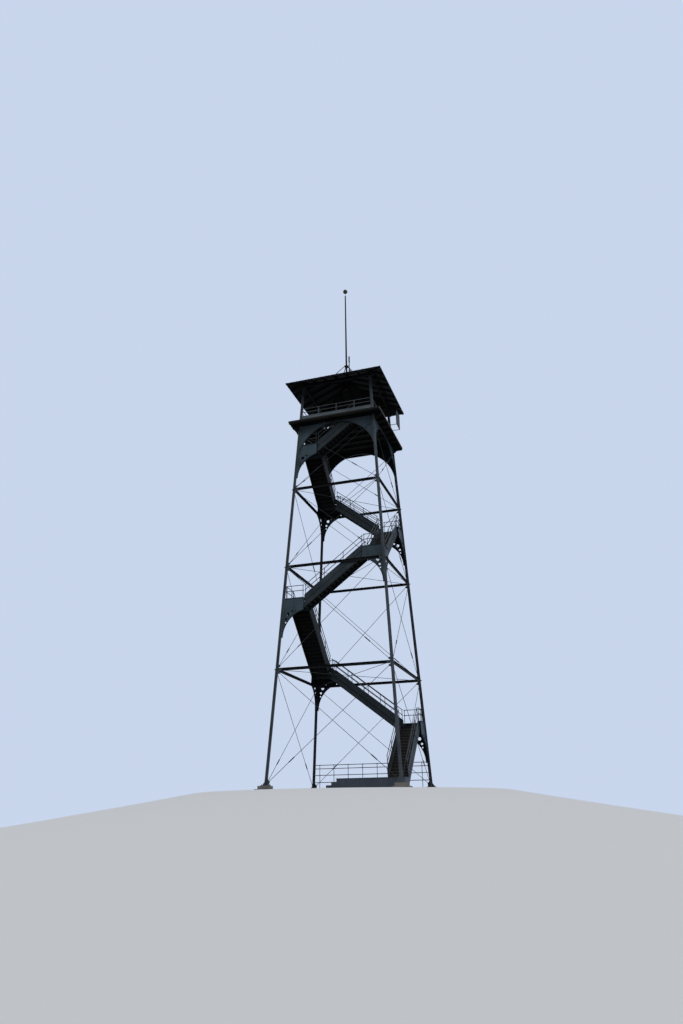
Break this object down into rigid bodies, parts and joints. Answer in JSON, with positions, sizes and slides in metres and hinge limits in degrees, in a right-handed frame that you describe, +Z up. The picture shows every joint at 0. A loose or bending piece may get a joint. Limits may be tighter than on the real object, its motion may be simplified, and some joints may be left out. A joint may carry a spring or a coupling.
{
  "type": "open steel observation lookout tower",
  "caption": "Open steel lookout tower with tapering legs, tie-rod bracing, stairs wound up inside, an arched open deck, a hip roof and a ball-topped staff.",
  "frame": {"origin": "centre of the base at ground level", "axes": "+Z up, +Y from the front face to the back face, +X to the right seen from the front"},
  "size_m": [8.52, 8.52, 35.2903],
  "materials": {
    "concrete": "weathered cast concrete",
    "leg_paint": "weathered slate blue-grey paint",
    "brace_paint": "weathered dark slate paint",
    "rod_paint": "weathered slate paint",
    "plate_paint": "weathered slate blue-grey paint",
    "flight_paint": "weathered slate blue-grey paint",
    "step_wood": "worn brown timber",
    "rail_paint": "slate paint",
    "platform_paint": "painted slate blue-grey",
    "beam_paint": "dark painted timber",
    "deck_board": "light weathered boards, dark stained underside",
    "deck_rail_paint": "grey paint",
    "roof_sheet": "dark grey sheet over dark boards",
    "pole_paint": "grey paint",
    "ball_gilt": "weathered gilt"
  },
  "bodies": {
    "root": {"piers": "concrete", "leg_left_front": "leg_paint", "leg_right_front": "leg_paint", "leg_right_back": "leg_paint", "leg_left_back": "leg_paint", "struts": "brace_paint", "rods_front": "rod_paint", "rods_right": "rod_paint", "rods_back": "rod_paint", "rods_left": "rod_paint", "level_rods": "rod_paint", "joint_plates": "brace_paint", "arches": "plate_paint", "steps_lower": "step_wood", "steps_upper": "step_wood", "stair_rails_lower": "rail_paint", "stair_rails_upper": "rail_paint", "entry_platform": "platform_paint", "base_rail": "rail_paint", "deck_beams": "beam_paint", "deck_floor": "deck_board", "deck_brackets": "brace_paint", "deck_rails": "deck_rail_paint", "side_board": "brace_paint", "post_brackets": "brace_paint", "roof_frame": "beam_paint", "roof_skin": "roof_sheet", "pole": "pole_paint", "pole_ball": "ball_gilt", "pole_fittings": "pole_paint", "landing_1": "plate_paint", "landing_2": "plate_paint", "landing_3": "plate_paint", "landing_4": "plate_paint", "landing_5": "plate_paint", "landing_6": "plate_paint", "landing_7": "plate_paint", "flight_1": "flight_paint", "flight_2": "flight_paint", "flight_3": "flight_paint", "flight_4": "flight_paint", "flight_5": "flight_paint", "flight_6": "flight_paint", "flight_7": "flight_paint", "flight_8": "flight_paint"}
  },
  "joints": []
}
